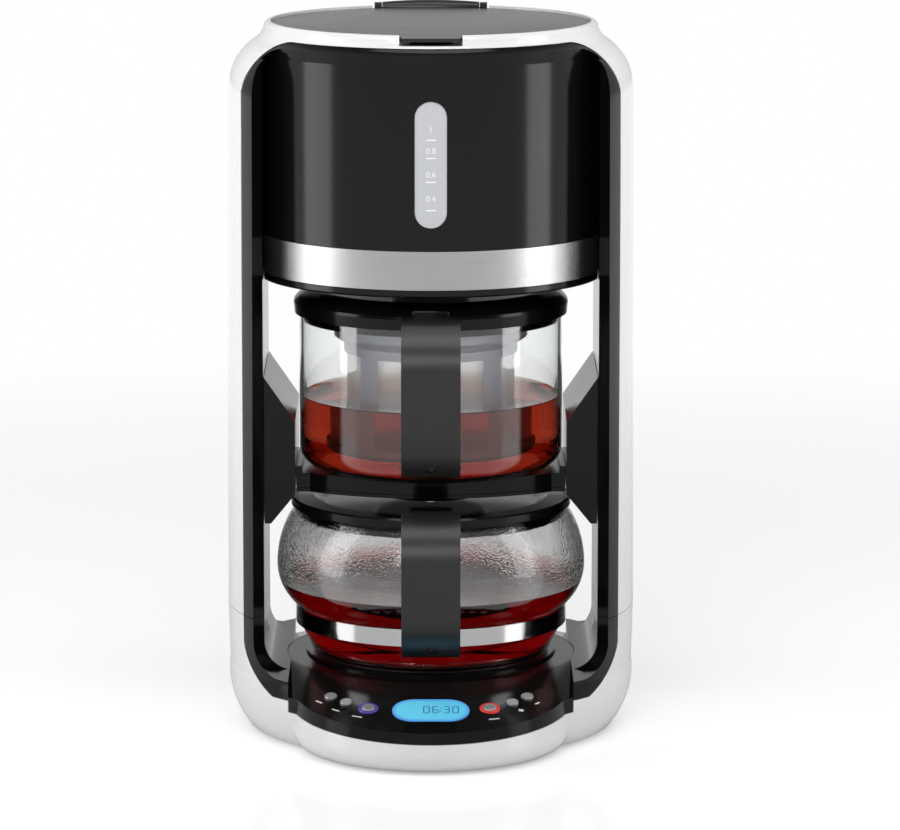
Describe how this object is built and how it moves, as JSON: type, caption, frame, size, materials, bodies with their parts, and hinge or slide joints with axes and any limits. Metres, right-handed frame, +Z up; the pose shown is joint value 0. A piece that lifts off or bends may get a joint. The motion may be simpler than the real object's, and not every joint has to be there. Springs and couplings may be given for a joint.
{
  "type": "automatic tea maker",
  "caption": "Tower tea maker: tank over a brew vessel on a shelf over a glass jug on a hot plate, in an open arch.",
  "frame": {"origin": "middle of the footprint, on the surface that the feet stand on", "axes": "+Z up, +Y to the back, +X to the right as seen from the front"},
  "size_m": [0.231, 0.255, 0.4038],
  "materials": {
    "white_shell": "high-gloss white ABS",
    "black_gloss": "high-gloss black ABS",
    "black_satin": "fine satin black polypropylene",
    "lid_grey": "dark grey gloss",
    "steel_band": "brushed round the tank",
    "polished_steel": "polished stainless",
    "glass": "clear heat-proof glass",
    "strainer_plastic": "translucent grey",
    "strainer_mesh": "fine nylon mesh",
    "window_plastic": "frosted translucent",
    "hot_plate": "non-stick coated",
    "button_silver": "silver-grey paint",
    "ring_blue": "lit translucent ring",
    "ring_red": "lit translucent ring",
    "display_clear": "clear lens",
    "display_blue": "backlit display",
    "board_green": "circuit board",
    "rubber_feet": "matte rubber",
    "silicone": "soft silicone",
    "metal_parts": "cast and drawn metal",
    "screw_steel": "zinc plated",
    "tank_plastic": "translucent polypropylene"
  },
  "bodies": {
    "housing": {"body_shell": "white_shell", "base_shell": "white_shell", "front_frame": "black_gloss", "rear_frame": "black_gloss", "column_wall_left": "black_gloss", "column_wall_right": "black_gloss", "control_deck": "black_gloss", "plate_surround": "black_gloss", "plate_rim": "black_gloss", "hot_plate": "hot_plate", "water_heater": "metal_parts", "thermostat": "metal_parts", "thermal_fuse": "metal_parts", "bottom_plate": "black_satin", "base_screws": "screw_steel", "foot_front_left": "rubber_feet", "foot_front_right": "rubber_feet", "foot_rear_left": "rubber_feet", "foot_rear_right": "rubber_feet", "cord_gland": "black_satin", "program_ring": "ring_blue", "start_ring": "ring_red", "display_lens": "display_clear", "display_module": "display_blue", "circuit_board": "board_green", "tank_housing": "black_gloss", "steel_band": "steel_band", "level_window": "window_plastic", "water_tank": "tank_plastic", "riser_tube": "silicone", "feed_tube": "silicone", "spray_head": "black_satin", "lid_hinge_pin": "screw_steel", "hinge_ears": "black_satin", "shelf_wing_left": "black_gloss", "shelf_wing_right": "black_gloss", "carrier_shelf": "black_gloss", "shelf_cover": "black_gloss", "valve_magnet": "metal_parts"},
    "tank_lid": {"tank_lid": "lid_grey"},
    "brew_vessel": {"brew_glass": "glass", "valve_seat": "silicone", "strainer_frame": "strainer_plastic", "strainer_mesh": "strainer_mesh", "brew_lid": "black_gloss", "brew_handle": "black_satin", "brew_handle_screw": "screw_steel"},
    "outlet_valve": {"outlet_valve": "silicone"},
    "valve_lifter": {"valve_lifter": "metal_parts"},
    "serving_jug": {"jug_glass": "glass", "jug_band": "polished_steel", "jug_lid": "black_gloss", "jug_handle": "black_satin", "jug_handle_screw": "screw_steel"},
    "menu_button": {"menu_button": "button_silver"},
    "clock_button": {"clock_button": "button_silver"},
    "program_button": {"program_button": "button_silver"},
    "start_button": {"start_button": "button_silver"},
    "plus_button": {"plus_button": "button_silver"},
    "minus_button": {"minus_button": "button_silver"}
  },
  "joints": [
    {"name": "tank_lid_hinge", "type": "hinge", "parent": "housing", "child": "tank_lid", "pos_m": [0, 0.1027, 0.3996], "axis": [-1, 0, 0], "range_deg": [0, 85]},
    {"name": "brew_vessel_slide", "type": "slide", "parent": "housing", "child": "brew_vessel", "axis": [0, -1, 0], "range_m": [0, 0.25]},
    {"name": "serving_jug_slide", "type": "slide", "parent": "housing", "child": "serving_jug", "axis": [0, -1, 0], "range_m": [0, 0.25]},
    {"name": "valve_lift", "type": "slide", "parent": "housing", "child": "valve_lifter", "axis": [0, 0, 1], "range_m": [0, 0.0015], "stiffness_N_per_m": 200, "springref_m": -0.001},
    {"name": "outlet_valve_slide", "type": "slide", "parent": "brew_vessel", "child": "outlet_valve", "axis": [0, 0, 1], "range_m": [0, 0.0015], "stiffness_N_per_m": 100, "springref_m": -0.001},
    {"name": "menu_press", "type": "slide", "parent": "housing", "child": "menu_button", "axis": [0, 0.2605, -0.9655], "range_m": [0, 0.001], "stiffness_N_per_m": 400, "springref_m": -0.0005},
    {"name": "clock_press", "type": "slide", "parent": "housing", "child": "clock_button", "axis": [0, 0.2605, -0.9655], "range_m": [0, 0.001], "stiffness_N_per_m": 400, "springref_m": -0.0005},
    {"name": "program_press", "type": "slide", "parent": "housing", "child": "program_button", "axis": [0, 0.2605, -0.9655], "range_m": [0, 0.001], "stiffness_N_per_m": 400, "springref_m": -0.0005},
    {"name": "start_press", "type": "slide", "parent": "housing", "child": "start_button", "axis": [0, 0.2605, -0.9655], "range_m": [0, 0.001], "stiffness_N_per_m": 400, "springref_m": -0.0005},
    {"name": "plus_press", "type": "slide", "parent": "housing", "child": "plus_button", "axis": [0, 0.2605, -0.9655], "range_m": [0, 0.001], "stiffness_N_per_m": 400, "springref_m": -0.0005},
    {"name": "minus_press", "type": "slide", "parent": "housing", "child": "minus_button", "axis": [0, 0.2605, -0.9655], "range_m": [0, 0.001], "stiffness_N_per_m": 400, "springref_m": -0.0005}
  ],
  "couplings": [
    {"joint": "outlet_valve_slide", "follows": "valve_lift", "ratio": 1}
  ]
}
